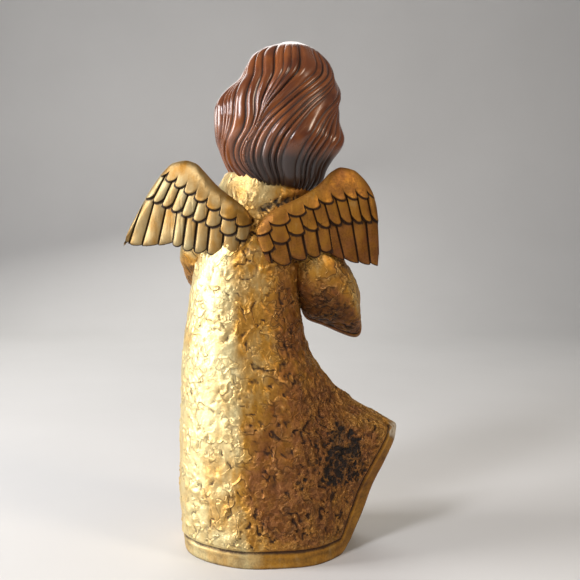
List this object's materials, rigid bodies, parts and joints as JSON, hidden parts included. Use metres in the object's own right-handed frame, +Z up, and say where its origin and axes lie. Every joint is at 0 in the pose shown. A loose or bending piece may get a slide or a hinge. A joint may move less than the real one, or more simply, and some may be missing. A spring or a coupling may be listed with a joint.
{
  "type": "angel figurine",
  "caption": "Standing winged angel figurine with a windblown hollow gown, bell sleeves, praying hands and a wavy bob of hair, on a closed felted foot.",
  "frame": {"origin": "on the resting face under the middle of the gown's round foot", "axes": "+Z up, the angel faces -Y, its own left wing is at +X and the windblown flare of its gown at -X"},
  "size_m": [0.1659, 0.1037, 0.3004],
  "materials": {
    "gold_paint": "cast resin, gold paint with a dark brown antique wash",
    "hair_paint": "cast resin, glossy chestnut brown paint",
    "skin_paint": "cast resin, satin skin-tone paint",
    "board": "pressed grey-brown board",
    "felt": "dark green pressed felt",
    "steel": "plain steel wire",
    "dowel_wood": "plain beech dowel"
  },
  "bodies": {
    "root": {"gown_shell": "gold_paint", "underskirt": "gold_paint", "left_sleeve": "gold_paint", "right_sleeve": "gold_paint", "left_undersleeve": "gold_paint", "right_undersleeve": "gold_paint", "left_wing": "gold_paint", "right_wing": "gold_paint", "hair": "hair_paint", "head": "skin_paint", "left_hand": "skin_paint", "right_hand": "skin_paint", "base_plate": "board", "felt_pad": "felt", "left_wing_pin_upper": "steel", "left_wing_pin_lower": "steel", "right_wing_pin_upper": "steel", "right_wing_pin_lower": "steel", "left_sleeve_pin": "steel", "right_sleeve_pin": "steel", "neck_dowel": "dowel_wood"}
  },
  "joints": []
}
